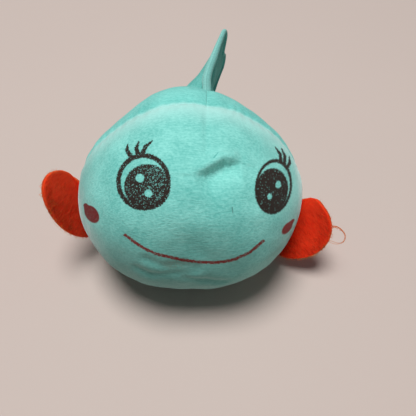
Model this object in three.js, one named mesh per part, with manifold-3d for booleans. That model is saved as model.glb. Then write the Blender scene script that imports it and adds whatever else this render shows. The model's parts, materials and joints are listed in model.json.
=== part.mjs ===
// A stuffed plush fish: a ball body of three sewn panels, two felt fins and a two-layer tail.
// Millimetres, +Z up. The face looks along -Y and the origin is in the middle of the flat base.
import * as THREE from 'three';
import { mergeVertices } from 'three/addons/utils/BufferGeometryUtils.js';
import Module from 'manifold-3d';

const wasm = await Module();
wasm.setup();
const degrees = THREE.MathUtils.degToRad;

// Body: half sizes from its middle, how far its underside is pressed flat, and how it narrows to its back and top
const BODY_HALF_WIDTH = 67;
const BODY_HALF_DEPTH = 64;
const BODY_RISE = 52;
const BODY_DROP = 49;
const BASE_PRESS = 3;
const BACK_TAPER = 25;
const TOP_TAPER = 21;
const BODY_FULLNESS = 2.2;
const BODY_COLUMNS = 32;
const BODY_ROWS = 18;

// Fabric and sewing
const FABRIC = 2;
const FELT = 1.8;
const THREAD = 0.6;
const CLEARANCE = 0.3;
const SEAM_ALLOWANCE = 5;
const STITCH_INSET = 1.5;
const SEAM_LEAN = degrees(18);
const MIDDLE_SEAM_X = 9.5;
const DART_LENGTH = 38;
const CLOSED_BY_HAND = 40;
const TIE_GAP = 0.06;
const SEAM_STEP = degrees(6);

// Fins: each sewn in the face seam at its own height, leaning along the seam and folded forward
const FIN_LENGTH = 31.5;
const FIN_HALF_HEIGHT = 23.3;
const FIN_ROOT_HALF = 13.5;
const FIN_BELLY = 0.34;
const FIN_ROUNDING = 0.15;
const FINS = {
  left: { side: -1, rise: -10.8, fold: degrees(72), cup: -1, lean: 15 },
  right: { side: 1, rise: -24.3, fold: degrees(53), cup: 4, lean: 6 },
};

// Tail: two lobes, sewn in the middle seam at the back, leaning to the right
const TAIL_SEAT = degrees(22);
const TAIL_AIM = degrees(27);
const TAIL_ROOT_HALF = 18;
const TAIL_ROOT_THICK = 3;
const TAIL_ROOT_PROUD = 0.4;
const TAIL_ROOT_GAP = 0.9;
const TAIL_HALF_SPAN = 23.5;
const TAIL_TIP = 32.5;
const TAIL_LOBE = 37.7;
const TAIL_LOBE_SPAN = 12;
const TAIL_NOTCH = 34;
const TAIL_FLARE = 1.3;
const TAIL_LEAN = 0.37;
const TAIL_LEAN_START = 5;
const TAIL_PUFF = 2;
const PUFF_HALFWAY = 0.75;
const TAIL_AXIS_OFF = 5;

// What follows from the sizes above
const SEAM_GAP = THREAD + 2 * CLEARANCE;
const ROOT_DEPTH = SEAM_ALLOWANCE - CLEARANCE;
const POCKET_DEPTH = SEAM_ALLOWANCE + FABRIC;
const THREAD_DEPTH = SEAM_ALLOWANCE - STITCH_INSET;
const MIDDLE = new THREE.Vector3(0, 0, BODY_DROP - BASE_PRESS);
const SPACE = 4 * Math.max(BODY_HALF_WIDTH, BODY_HALF_DEPTH, BODY_RISE, BODY_DROP);
const SEARCH_STEPS = 40;
const HALFWAY = 0.5;

const PLUSH = { color: 0x88e0d0, roughness: 0.95, metalness: 0 };
const RED_FELT = { color: 0xcd1e0a, roughness: 0.95, metalness: 0 };
const FIBRE = { color: 0xf2efe8, roughness: 1, metalness: 0 };
const SEWING = { color: 0x6fc4b4, roughness: 0.8, metalness: 0 };

// Solids and meshes
function solidOf(geometry) {
  geometry.deleteAttribute('normal');
  geometry.deleteAttribute('uv');
  const merged = mergeVertices(geometry);
  const vertProperties = new Float32Array(merged.attributes.position.array);
  const triVerts = new Uint32Array(merged.index.array);
  return new wasm.Manifold(new wasm.Mesh({ numProp: 3, vertProperties, triVerts }));
}

function geometryOf(solid) {
  const { vertProperties, triVerts } = solid.getMesh();
  const geometry = new THREE.BufferGeometry();
  geometry.setAttribute('position', new THREE.BufferAttribute(new Float32Array(vertProperties), 3));
  geometry.setIndex(new THREE.BufferAttribute(new Uint32Array(triVerts), 1));
  geometry.computeVertexNormals();
  return geometry;
}

const fish = new THREE.Group();
fish.name = 'plush_fish';

function addPiece(name, solid, finish, details = {}) {
  const mesh = new THREE.Mesh(geometryOf(solid), new THREE.MeshStandardMaterial(finish));
  mesh.name = name;
  mesh.userData = details;
  fish.add(mesh);
}

// The body's outer surface, as its reach from the middle in a direction
function bodyReach(direction) {
  const height = direction.z > 0 ? BODY_RISE : BODY_DROP;
  const taper = BACK_TAPER * Math.max(direction.y, 0) ** 2 + TOP_TAPER * Math.max(direction.z, 0) ** 2;
  const width = BODY_HALF_WIDTH - taper;
  const share = (value, half) => Math.abs(value / half) ** BODY_FULLNESS;
  const sum = share(direction.x, width) + share(direction.y, BODY_HALF_DEPTH)
    + share(direction.z, height);
  return sum ** (-1 / BODY_FULLNESS);
}

function insideBody(point, inset) {
  const offset = point.clone().sub(MIDDLE);
  const distance = offset.length();
  return distance < bodyReach(offset.divideScalar(distance || 1)) - inset;
}

// The body drawn in by an inset, with its flat base
function ball(inset) {
  const geometry = new THREE.SphereGeometry(1, BODY_COLUMNS, BODY_ROWS).rotateX(Math.PI / 2);
  const positions = geometry.attributes.position;
  const point = new THREE.Vector3();
  for (let i = 0; i < positions.count; i++) {
    point.fromBufferAttribute(positions, i).normalize();
    point.multiplyScalar(bodyReach(point) - inset).add(MIDDLE);
    positions.setXYZ(i, point.x, point.y, point.z);
  }
  return solidOf(geometry).intersect(block([-SPACE, -SPACE, inset], [SPACE, SPACE, SPACE]));
}

function block(low, high) {
  const size = high.map((value, axis) => value - low[axis]);
  const centre = high.map((value, axis) => (value + low[axis]) / 2);
  return solidOf(new THREE.BoxGeometry(...size).translate(...centre));
}

// Planes in which pieces are sewn: u runs out of the body, v along the seam, n across it
function sewingPlane(origin, u, v) {
  const n = new THREE.Vector3().crossVectors(u, v);
  return new THREE.Matrix4().makeBasis(u, v, n).setPosition(origin);
}

const SEAM_UP = new THREE.Vector3(0, Math.sin(SEAM_LEAN), Math.cos(SEAM_LEAN));
const SEAM_RIGHT = new THREE.Vector3(1, 0, 0);
const FACE_SEAM = sewingPlane(MIDDLE, SEAM_RIGHT, SEAM_UP);

function place(plane, u, v, n = 0) {
  return new THREE.Vector3(u, v, n).applyMatrix4(plane);
}

// How far out along u the body's surface lies at v, when it is drawn in by an inset
function surfaceAt(plane, v, inset) {
  let inner = -BODY_HALF_WIDTH / 2;
  let outer = SPACE;
  for (let i = 0; i < SEARCH_STEPS; i++) {
    const middle = (inner + outer) / 2;
    if (insideBody(place(plane, middle, v), inset)) inner = middle;
    else outer = middle;
  }
  return inner;
}

function inFront(distance) {
  const low = [-SPACE, -SPACE, distance];
  const high = [SPACE, SPACE, SPACE];
  return block(low, high).transform(FACE_SEAM.elements);
}

function behind(distance) {
  const low = [-SPACE, -SPACE, -SPACE];
  const high = [SPACE, SPACE, -distance];
  return block(low, high).transform(FACE_SEAM.elements);
}

function leftOfMiddle(distance) {
  return block([-SPACE, -SPACE, -SPACE], [MIDDLE_SEAM_X - distance, SPACE, SPACE]);
}

function rightOfMiddle(distance) {
  return block([MIDDLE_SEAM_X + distance, -SPACE, -SPACE], [SPACE, SPACE, SPACE]);
}

// A thread along a path of points
function threadAlong(points, across = THREAD) {
  const sides = 6;
  const steps = 2 * points.length;
  const section = new THREE.Shape();
  for (let i = 0; i < sides; i++) {
    const angle = (i / sides) * 2 * Math.PI;
    const corner = [(across / 2) * Math.cos(angle), (across / 2) * Math.sin(angle)];
    if (i === 0) section.moveTo(...corner);
    else section.lineTo(...corner);
  }
  section.closePath();
  const extrudePath = new THREE.CatmullRomCurve3(points);
  return solidOf(new THREE.ExtrudeGeometry(section, { steps, extrudePath }));
}

// Points of a seam in its plane, at the thread's depth, between two angles from u towards v
function seamPoints(origin, u, v, fromAngle, toAngle) {
  const points = [];
  const count = Math.ceil(Math.abs(toAngle - fromAngle) / SEAM_STEP);
  for (let i = 0; i <= count; i++) {
    const angle = fromAngle + ((toAngle - fromAngle) * i) / count;
    const out = u.clone().multiplyScalar(Math.cos(angle)).addScaledVector(v, Math.sin(angle));
    const across = new THREE.Vector3().crossVectors(u, v).cross(out);
    const reach = surfaceAt(sewingPlane(origin, out, across), 0, THREAD_DEPTH);
    const point = origin.clone().addScaledVector(out, reach);
    const floor = THREAD_DEPTH;
    if (point.z < floor) point.lerp(origin, (floor - point.z) / (origin.z - point.z));
    points.push(point);
  }
  return points;
}

// A closed sheet: rings round a hub run from its low face over its border to its high face
function leaf(outline, hub, rings, bend) {
  const positions = [];
  const index = [];
  const count = outline.length;
  const addPoint = (point, lift) => positions.push(point.x, point.y, lift + bend(point.x, point.y));
  addPoint(hub, rings[0].lift);
  const body = rings.slice(1, -1);
  for (const { toward = 0, inset = 0, lift } of body) {
    for (const edge of outline) {
      const point = edge.clone().lerp(hub, toward);
      const inward = hub.clone().sub(edge).setLength(inset);
      addPoint(point.add(inward), lift);
    }
  }
  addPoint(hub, rings.at(-1).lift);
  const last = 1 + body.length * count;
  const topRing = last - count;
  for (let i = 0; i < count; i++) {
    const next = (i + 1) % count;
    index.push(0, 1 + next, 1 + i);
    for (let ring = 0; ring < body.length - 1; ring++) {
      const low = 1 + ring * count;
      const high = low + count;
      index.push(low + i, low + next, high + next, low + i, high + next, high + i);
    }
    index.push(last, topRing + i, topRing + next);
  }
  const geometry = new THREE.BufferGeometry();
  geometry.setAttribute('position', new THREE.Float32BufferAttribute(positions, 3));
  geometry.setIndex(index);
  return geometry;
}

// The part of a fin or tail that is sewn between two panels
function sewnRoot(plane, half, thick, proud, deep = ROOT_DEPTH, grow = 0) {
  const count = 10;
  const shape = new THREE.Shape();
  for (let i = 0; i <= count; i++) {
    const v = (half + grow) * ((2 * i) / count - 1);
    const u = surfaceAt(plane, v, -proud - grow);
    if (i === 0) shape.moveTo(u, v);
    else shape.lineTo(u, v);
  }
  for (let i = count; i >= 0; i--) {
    const v = (half + grow) * ((2 * i) / count - 1);
    shape.lineTo(surfaceAt(plane, v, deep), v);
  }
  shape.closePath();
  const depth = thick + 2 * grow;
  const geometry = new THREE.ExtrudeGeometry(shape, { depth, bevelEnabled: false });
  return solidOf(geometry.translate(0, 0, -depth / 2).applyMatrix4(plane));
}

// Fins
function finPlane({ side, rise }) {
  const outward = new THREE.Vector3(side, 0, 0);
  const seatAt = (height) => {
    const level = sewingPlane(MIDDLE.clone().addScaledVector(SEAM_UP, height), outward, SEAM_UP);
    return place(level, surfaceAt(level, 0, 0), 0);
  };
  const v = seatAt(rise + FIN_ROOT_HALF / 2).sub(seatAt(rise - FIN_ROOT_HALF / 2)).normalize();
  const across = new THREE.Vector3().crossVectors(outward, SEAM_UP);
  return sewingPlane(seatAt(rise), new THREE.Vector3().crossVectors(v, across), v);
}

function finOutline(fin, plane) {
  const tip = surfaceAt(plane, 0, -CLEARANCE) + FIN_LENGTH;
  const rootEdge = (v) => surfaceAt(plane, v, -CLEARANCE);
  const sideSteps = 4;
  const roundSteps = 6;
  const rootSteps = 8;
  const lower = [];
  for (let i = 0; i < sideSteps; i++) {
    const share = i / sideSteps;
    const half = FIN_HALF_HEIGHT - (FIN_HALF_HEIGHT - FIN_ROOT_HALF) * (1 - share) ** 2;
    lower.push([share * FIN_BELLY, half]);
  }
  for (let i = 0; i < roundSteps; i++) {
    const angle = ((i / roundSteps) * Math.PI) / 2;
    lower.push([FIN_BELLY + (1 - FIN_BELLY) * Math.sin(angle), FIN_HALF_HEIGHT * Math.cos(angle)]);
  }
  const edge = (share, sign, half) => {
    const u = THREE.MathUtils.lerp(rootEdge(sign * FIN_ROOT_HALF), tip, share);
    return new THREE.Vector2(u, sign * half + fin.lean * share);
  };
  const points = lower.map(([share, half]) => edge(share, -1, half));
  points.push(edge(1, 1, 0));
  for (const [share, half] of lower.toReversed()) points.push(edge(share, 1, half));
  for (let i = rootSteps - 1; i > 0; i--) {
    const v = FIN_ROOT_HALF * ((2 * i) / rootSteps - 1);
    points.push(new THREE.Vector2(rootEdge(v), v));
  }
  return points;
}

// A fin turns about a line along its root, half a felt off the body where the root stands out most
function finHinge(plane) {
  const end = (v) => new THREE.Vector2(surfaceAt(plane, v, -CLEARANCE), v);
  const low = end(-FIN_ROOT_HALF);
  const along = end(FIN_ROOT_HALF).sub(low).normalize();
  const out = new THREE.Vector2(along.y, -along.x);
  let stand = 0;
  const samples = 20;
  for (let i = 0; i <= samples; i++) {
    const point = end(FIN_ROOT_HALF * ((2 * i) / samples - 1));
    stand = Math.max(stand, point.sub(low).dot(out));
  }
  const middle = low.clone().addScaledVector(along, FIN_ROOT_HALF);
  const point = middle.addScaledVector(out, stand + FELT / 2);
  return { point: new THREE.Vector3(point.x, point.y, 0), axis: new THREE.Vector3(along.x, along.y, 0) };
}

function finSolid(fin, plane, hinge) {
  const outline = finOutline(fin, plane);
  const root = surfaceAt(plane, 0, -CLEARANCE);
  const hub = new THREE.Vector2(root + FIN_LENGTH / 2, fin.lean / 2);
  const half = FELT / 2;
  const rounding = FIN_ROUNDING * FELT;
  const rings = [
    { lift: -half },
    { toward: HALFWAY, lift: -half },
    { inset: half, lift: -half },
    { inset: rounding, lift: -half / 2 },
    { inset: rounding, lift: half / 2 },
    { inset: half, lift: half },
    { toward: HALFWAY, lift: half },
    { lift: half },
  ];
  const cupped = (u, v) => {
    const out = THREE.MathUtils.smoothstep(u, root, root + FIN_LENGTH / 2);
    const centre = (fin.lean * (u - root)) / FIN_LENGTH;
    return fin.side * fin.cup * out * ((v - centre) / FIN_HALF_HEIGHT) ** 2;
  };
  const geometry = leaf(outline, hub, rings, cupped);
  const toHinge = new THREE.Matrix4().setPosition(hinge.point.clone().negate());
  const turn = new THREE.Matrix4().makeRotationAxis(hinge.axis, -fin.side * fin.fold);
  const back = new THREE.Matrix4().setPosition(hinge.point);
  return solidOf(geometry.applyMatrix4(toHinge).applyMatrix4(turn).applyMatrix4(back).applyMatrix4(plane));
}

// Tail
function tailPlane() {
  const u = new THREE.Vector3(0, Math.cos(TAIL_AIM), Math.sin(TAIL_AIM));
  const v = new THREE.Vector3(0, -Math.sin(TAIL_AIM), Math.cos(TAIL_AIM));
  const toSeat = new THREE.Vector3(0, Math.cos(TAIL_SEAT), Math.sin(TAIL_SEAT));
  const origin = MIDDLE.clone().setX(MIDDLE_SEAM_X);
  const seatPlane = sewingPlane(origin, toSeat, new THREE.Vector3(0, -toSeat.z, toSeat.y));
  return sewingPlane(place(seatPlane, surfaceAt(seatPlane, 0, 0), 0), u, v);
}

function tailOutline(plane) {
  const rootEdge = (v) => surfaceAt(plane, v, -TAIL_ROOT_GAP);
  const edgeSteps = 5;
  const tipSteps = 4;
  const notchSteps = 4;
  const rootSteps = 8;
  const lower = [];
  for (let i = 0; i < edgeSteps; i++) {
    const share = i / edgeSteps;
    const u = THREE.MathUtils.lerp(rootEdge(-TAIL_ROOT_HALF), TAIL_TIP, share);
    lower.push([u, TAIL_ROOT_HALF + (TAIL_HALF_SPAN - TAIL_ROOT_HALF) * share ** TAIL_FLARE]);
  }
  for (let i = 0; i < tipSteps; i++) {
    const angle = ((i / tipSteps) * Math.PI) / 2;
    const u = TAIL_TIP + (TAIL_LOBE - TAIL_TIP) * Math.sin(angle);
    lower.push([u, TAIL_LOBE_SPAN + (TAIL_HALF_SPAN - TAIL_LOBE_SPAN) * Math.cos(angle)]);
  }
  for (let i = 0; i < notchSteps; i++) {
    const share = 1 - i / notchSteps;
    const rise = (1 - Math.cos(Math.PI * share)) / 2;
    lower.push([TAIL_NOTCH + (TAIL_LOBE - TAIL_NOTCH) * rise, TAIL_LOBE_SPAN * share]);
  }
  const points = lower.map(([u, half]) => new THREE.Vector2(u, -half));
  points.push(new THREE.Vector2(TAIL_NOTCH, 0));
  for (const [u, half] of lower.toReversed()) points.push(new THREE.Vector2(u, half));
  const edgePoints = points.length;
  for (let i = rootSteps - 1; i > 0; i--) {
    const v = TAIL_ROOT_HALF * ((2 * i) / rootSteps - 1);
    points.push(new THREE.Vector2(rootEdge(v), v));
  }
  return { points, edgePoints };
}

function tailBend(u) {
  const out = Math.max(u, 0);
  return (TAIL_LEAN * out ** 2) / (out + TAIL_LEAN_START);
}

function tailLayer(plane, outline, hub, side) {
  const low = SEAM_GAP / 2;
  const high = low + FABRIC;
  const halfway = PUFF_HALFWAY * TAIL_PUFF;
  const border = FABRIC / 4;
  const rings = [
    { lift: low + TAIL_PUFF },
    { toward: HALFWAY, lift: low + halfway },
    { inset: FABRIC, lift: low },
    { inset: border, lift: low },
    { lift: low + border },
    { inset: border, lift: high - border },
    { inset: FABRIC, lift: high },
    { toward: HALFWAY, lift: high + halfway },
    { lift: high + TAIL_PUFF },
  ];
  const mirrored = rings.map((ring) => ({ ...ring, lift: -ring.lift })).reverse();
  const geometry = leaf(outline, hub, side > 0 ? rings : mirrored, tailBend);
  return solidOf(geometry.applyMatrix4(plane));
}

function tailFilling(plane, outline, hub) {
  const thick = TAIL_PUFF + SEAM_GAP / 2 - CLEARANCE;
  const rings = [
    { lift: -thick },
    { toward: HALFWAY, lift: -HALFWAY * thick },
    { inset: FABRIC + 2 * THREAD + 2 * CLEARANCE, lift: 0 },
    { toward: HALFWAY, lift: HALFWAY * thick },
    { lift: thick },
  ];
  return solidOf(leaf(outline, hub, rings, tailBend).applyMatrix4(plane));
}

function tailEdgeThread(plane, { points, edgePoints }, hub) {
  const path = points.slice(0, edgePoints).map((edge) => {
    const point = edge.clone().add(hub.clone().sub(edge).setLength(FABRIC + THREAD));
    return place(plane, point.x, point.y, tailBend(point.x));
  });
  return threadAlong(path);
}

// Build
const seamHalf = SEAM_GAP / 2;
const flange = seamHalf + FABRIC;
const outer = ball(0);
const lining = ball(FABRIC);
const turnedIn = ball(SEAM_ALLOWANCE);
const seamTop = MIDDLE.clone().addScaledVector(SEAM_UP, bodyReach(SEAM_UP));
const dartTip = seamTop.y - DART_LENGTH;

function dartSlab(half, past) {
  return block([MIDDLE_SEAM_X - half, dartTip - past, MIDDLE.z], [MIDDLE_SEAM_X + half, SPACE, SPACE]);
}

const fins = Object.entries(FINS).map(([name, fin]) => {
  const plane = finPlane(fin);
  return { name, fin, plane, hinge: finHinge(plane) };
});
const tail = tailPlane();
const finPockets = fins.map(({ plane }) => sewnRoot(plane, FIN_ROOT_HALF, FELT, 0, POCKET_DEPTH, CLEARANCE));
const tailPocket = sewnRoot(
  tail, TAIL_ROOT_HALF, TAIL_ROOT_THICK, TAIL_ROOT_PROUD, POCKET_DEPTH, CLEARANCE,
);

const faceInside = lining.intersect(inFront(flange)).subtract(dartSlab(flange, FABRIC));
let facePanel = outer.intersect(inFront(seamHalf)).subtract(faceInside).subtract(turnedIn);
facePanel = facePanel.subtract(dartSlab(seamHalf, 0));
for (const pocket of finPockets) facePanel = facePanel.subtract(pocket);
addPiece('face_panel', facePanel, PLUSH);

for (const [name, sideOf] of [['left', leftOfMiddle], ['right', rightOfMiddle]]) {
  const inside = lining.intersect(behind(flange)).intersect(sideOf(flange));
  let panel = outer.intersect(behind(seamHalf)).intersect(sideOf(seamHalf));
  panel = panel.subtract(inside).subtract(turnedIn).subtract(tailPocket);
  for (const pocket of finPockets) panel = panel.subtract(pocket);
  addPiece(`back_panel_${name}`, panel, PLUSH);
}

const away = flange + CLEARANCE;
const middleSlab = behind(-away).subtract(leftOfMiddle(away)).subtract(rightOfMiddle(away));
const faceSlab = inFront(-away).intersect(behind(-away));
const seamSpace = faceSlab.add(middleSlab).add(dartSlab(away, FABRIC + CLEARANCE));
const stuffing = ball(FABRIC + CLEARANCE).subtract(seamSpace.subtract(ball(SEAM_ALLOWANCE + CLEARANCE)));
addPiece('stuffing', stuffing, FIBRE);

// Threads: the face seam's ring is open under the belly, where its two ends are tied off
const faceStart = TIE_GAP - Math.PI / 2;
const faceEnd = 1.5 * Math.PI - TIE_GAP;
const facePoints = seamPoints(MIDDLE, SEAM_RIGHT, SEAM_UP, faceStart, faceEnd);
addPiece('face_seam_thread', threadAlong(facePoints), SEWING);

// The middle seam and the dart, as angles about the body's middle from the back upwards
const middleOrigin = MIDDLE.clone().setX(MIDDLE_SEAM_X);
const BACK = new THREE.Vector3(0, 1, 0);
const UP = new THREE.Vector3(0, 0, 1);
const topJunction = Math.PI / 2 - SEAM_LEAN;
const bottomJunction = topJunction - Math.PI;
const offJunction = (SEAM_ALLOWANCE + FABRIC) / BODY_RISE;
const offStretch = THREAD_DEPTH / BODY_HALF_DEPTH;
const handTop = -offStretch;
const handBottom = handTop - CLOSED_BY_HAND / BODY_HALF_DEPTH;
const dartEnd = Math.atan2(bodyReach(UP), dartTip + SEAM_ALLOWANCE);
const middleStretch = (from, to) => seamPoints(middleOrigin, BACK, UP, from, to);
const backPoints = middleStretch(topJunction - offJunction, handTop);
const handPoints = middleStretch(handTop - offStretch, handBottom);
const bellyPoints = middleStretch(handBottom - offStretch, bottomJunction + offJunction);
const dartPoints = middleStretch(topJunction + offJunction, dartEnd);
addPiece('back_seam_thread', threadAlong(backPoints), SEWING);
addPiece('closing_thread', threadAlong(handPoints), SEWING);
addPiece('belly_seam_thread', threadAlong(bellyPoints), SEWING);
addPiece('dart_thread', threadAlong(dartPoints), SEWING);

for (const { name, fin, plane, hinge } of fins) {
  const channel = threadAlong(facePoints, SEAM_GAP);
  const root = sewnRoot(plane, FIN_ROOT_HALF, FELT, 0).subtract(channel);
  addPiece(`fin_${name}_root`, root, RED_FELT);
  const point = hinge.point.clone().applyMatrix4(plane);
  const axis = hinge.axis.clone().transformDirection(plane);
  addPiece(`fin_${name}`, finSolid(fin, plane, hinge), RED_FELT, { hinge: { point, axis } });
}

let tailRoot = sewnRoot(tail, TAIL_ROOT_HALF, TAIL_ROOT_THICK, TAIL_ROOT_PROUD);
for (const points of [backPoints, handPoints]) tailRoot = tailRoot.subtract(threadAlong(points, SEAM_GAP));
addPiece('tail_root', tailRoot, PLUSH);
const tailEdge = tailOutline(tail);
const tailHub = new THREE.Vector2(TAIL_NOTCH / 2, 0);
const tailHinge = {
  point: place(tail, TAIL_AXIS_OFF, 0),
  axis: new THREE.Vector3(0, 1, 0).transformDirection(tail),
};
addPiece('tail_panel_left', tailLayer(tail, tailEdge.points, tailHub, -1), PLUSH, { hinge: tailHinge });
addPiece('tail_panel_right', tailLayer(tail, tailEdge.points, tailHub, 1), PLUSH);
addPiece('tail_filling', tailFilling(tail, tailEdge.points, tailHub), FIBRE);
addPiece('tail_edge_thread', tailEdgeThread(tail, tailEdge, tailHub), SEWING);

export default fish;
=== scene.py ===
import json
import math

import bmesh
import bpy
import numpy as np
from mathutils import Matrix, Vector, noise


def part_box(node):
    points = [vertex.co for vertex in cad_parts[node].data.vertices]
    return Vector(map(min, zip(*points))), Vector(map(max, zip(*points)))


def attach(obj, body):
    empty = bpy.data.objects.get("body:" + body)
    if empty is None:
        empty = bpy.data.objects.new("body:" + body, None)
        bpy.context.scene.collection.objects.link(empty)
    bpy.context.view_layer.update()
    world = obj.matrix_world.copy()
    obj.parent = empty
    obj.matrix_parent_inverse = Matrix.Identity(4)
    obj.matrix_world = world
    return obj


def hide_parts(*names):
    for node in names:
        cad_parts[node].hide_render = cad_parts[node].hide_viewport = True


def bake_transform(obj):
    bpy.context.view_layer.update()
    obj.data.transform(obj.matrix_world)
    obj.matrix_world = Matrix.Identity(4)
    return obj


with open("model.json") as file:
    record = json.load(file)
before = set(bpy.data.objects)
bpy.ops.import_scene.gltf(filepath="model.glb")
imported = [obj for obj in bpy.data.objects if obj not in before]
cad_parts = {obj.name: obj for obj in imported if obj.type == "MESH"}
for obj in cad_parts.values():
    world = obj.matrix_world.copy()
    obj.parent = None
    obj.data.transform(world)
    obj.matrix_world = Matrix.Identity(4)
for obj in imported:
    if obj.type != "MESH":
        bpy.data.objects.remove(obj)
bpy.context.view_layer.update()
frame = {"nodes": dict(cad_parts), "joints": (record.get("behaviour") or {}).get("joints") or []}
scene = bpy.context.scene
MM = 0.001
JOINTS = {joint["name"]: joint for joint in frame["joints"]}

# The photograph's frame and the camera that took it
PHOTO = 416
FOCAL = 417
PITCH = math.radians(52.5)
EYE = np.array([10.4, -168.0, 243.18]) * MM
SENSOR = 36
VIEW_RIGHT = np.array([1.0, 0.0, 0.0])
VIEW_UP = np.array([0.0, math.sin(PITCH), math.cos(PITCH)])
VIEW_BACK = np.array([0.0, -math.cos(PITCH), math.sin(PITCH)])
SIGHT_RANGE = (0.1, 0.5, 0.0005)

# The studio: each lamp's place, width and power, then the sky and the floor
LAMPS = {
    "key": ((-0.2, 0.15, 2.3), 1.1, 55),
    "fill": ((2.1, -0.75, 0.8), 1.8, 1.8),
}
LAMP_TARGET = (0, 0, 0.05)
SKY = (0.95, 0.97, 1.0, 1)
SKY_STRENGTH = 0.1
FLOOR_HALF = 12

# The body: its sizes from the frame, then how it sits, swells and is sewn
panel_boxes = [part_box(name) for name in ("face_panel", "back_panel_left", "back_panel_right")]
HALF_WIDTH = max(high.x for low, high in panel_boxes)
HALF_DEPTH = max(high.y for low, high in panel_boxes)
TOP = max(high.z for low, high in panel_boxes)
MIDDLE = np.array([0.0, 0.0, 46 * MM])
RISE = TOP - MIDDLE[2]
DROP = 49 * MM
BASE_ROUNDING = 3 * MM
BACK_TAPER = 25 * MM
TOP_TAPER = 21 * MM
FULLNESS = 2.2
BALL_CUTS = 53
SEAM_LEAN = math.radians(18)
SEAM_FRONT = np.array([0.0, -math.cos(SEAM_LEAN), math.sin(SEAM_LEAN)])
SEAM_UP = np.array([0.0, math.sin(SEAM_LEAN), math.cos(SEAM_LEAN)])
MIDDLE_SEAM_X = JOINTS["tail_wag"]["pos_m"][0]
DART_LENGTH = 38 * MM
PLUSH_THICK = 1.6 * MM
SEAM_DEPTH = 4.7 * MM
SEAM_GAP = 0.03 * MM
SEAM_OPENING = 0.5 * MM
FOLD_RADIUS = 0.15 * MM
FIN_SLOT = 1.25 * MM
TAIL_SLOT = 2.2 * MM
SLOT_FADE = 4 * MM
DRAWN_BACK = 3 * MM
AT_SEAM = 0.6 * MM
# The top band, which also sets the painted seam highlight, and that highlight's width on the face and on
# the back
TOP_BAND = 12 * MM
FACE_FADE = 20 * MM
BACK_FADE = 2.5 * MM
# Painted shade on the low front: the heights where it starts and where it is full
LOW_SHADE_HEIGHTS = (80 * MM, 52 * MM)
CLOTH = {
    "quality": 4, "mass": 0.01, "tension_stiffness": 5, "compression_stiffness": 5,
    "shear_stiffness": 2.5, "bending_stiffness": 0.1, "use_pressure": True, "uniform_pressure_force": 1500,
}
CLOTH_FRAMES = 20
SWELL_CAP = 2.5 * MM

# Where the photograph shows what was sewn and pressed into the plush
PIT_LINE = ((193.5, 177), (206, 173.5), (214, 169), (224, 163.5), (234, 163), (241, 163.5))
PIT_SHARES = (0.1, 0.85, 1.0, 1.0, 0.65, 0.1)
PIT_UPHILL = (216, 152)
PIT_DEPTH = 5.8 * MM
PIT_EDGE = 1.8 * MM
PIT_FALL = 2.8 * MM
PIT_REACH = 10.5 * MM
PIT_RIDGE = 2.0 * MM
FOLD_DEPTH = 0.75 * MM
FOLD_LIP = 0.3 * MM
BELLY_FOLDS = (
    ((146, 260), (163, 267.5), (180, 268), (197, 270)),
    ((138, 268), (150, 274), (168, 274.5), (196, 274)),
    ((186, 279), (205, 281), (224, 281.5)),
)

# Soft forms of the body: the pixel each lies at, how far it stands out and its width
FORMS = {
    "tail_pull": ((166, 98), 2.4 * MM, 26 * MM),
    "muzzle": ((190, 212), 1.8 * MM, 22 * MM),
    "chin": ((188, 257), -4 * MM, 19 * MM),
}

# The printed face
EYES = (
    {
        "ring": (143.5, 181.8), "radii": (27.3, 28.7), "width": 4.9, "turn": 0.0,
        "pupil": (147.3, 187.0), "pupil_radii": (23.2, 23.0),
        "lights": (((139.8, 178.1), (4.2, 4.2)), ((148.4, 193.2), (3.8, 3.8))),
        "lashes": (
            ((130.6, 155.8), (127.0, 150.2), (127.6, 144.6)),
            ((137.8, 153.6), (136.2, 148.4), (138.9, 141.6)),
            ((142.5, 153.4), (145.4, 146.8), (152.2, 141.0)),
        ),
        "lash": 4.8, "wear": (0.31, 0.39), "worn_side": (128, 165),
    },
    {
        "ring": (273.5, 186.7), "radii": (18.5, 27.9), "width": 3.8, "turn": math.radians(7),
        "pupil": (271.6, 190.6), "pupil_radii": (16.5, 22.6),
        "lights": (((278.4, 184.6), (2.6, 3.7)), ((269.6, 196.4), (2.2, 3.0))),
        "lashes": (
            ((281.0, 161.8), (280.2, 154.0), (275.0, 147.0)),
            ((284.4, 163.2), (284.8, 156.0), (281.6, 148.8)),
            ((287.4, 167.0), (289.8, 163.0), (289.2, 156.2)),
        ),
        "lash": 3.6, "wear": (0.25, 0.25), "worn_side": (255, 292),
    },
)
CHEEKS = (
    {
        "middle": (91.8, 214.2), "radii": (6.3, 9.8), "turn": math.radians(-33),
        "tip": ((88.6, 210.5), (85.6, 205.4)), "tip_widths": (9.5, 4.5), "ink": (0.165, 0.018, 0.018, 1),
    },
    # The right cheek's ink is lighter than the left's, as painted light where the cheek lies in shade
    {
        "middle": (287.2, 228), "radii": (3.6, 7.6), "turn": math.radians(38),
        "tip": ((289, 225.5), (293.4, 220)), "tip_widths": (5.5, 2.5), "ink": (0.28, 0.028, 0.026, 1),
    },
)
SMUDGE = (175, 265)
SMUDGE_RADII = (13, 5)
FLECK = ((232.2, 207.5), (232.8, 212.5))
# Painted shade along the crease over the pit
PIT_SHADE_LINE = ((214, 157.5), (218, 152.6))
MOUTH = ((124.9, 234.7), (133.5, 241.5), (143.3, 247.9), (155.9, 253.9), (181.2, 259.6), (199, 262),
         (213.3, 262.6), (225, 261.6), (235.1, 259.2), (250, 252.3), (263.3, 241))
MOUTH_WIDTH = 2.9

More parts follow.
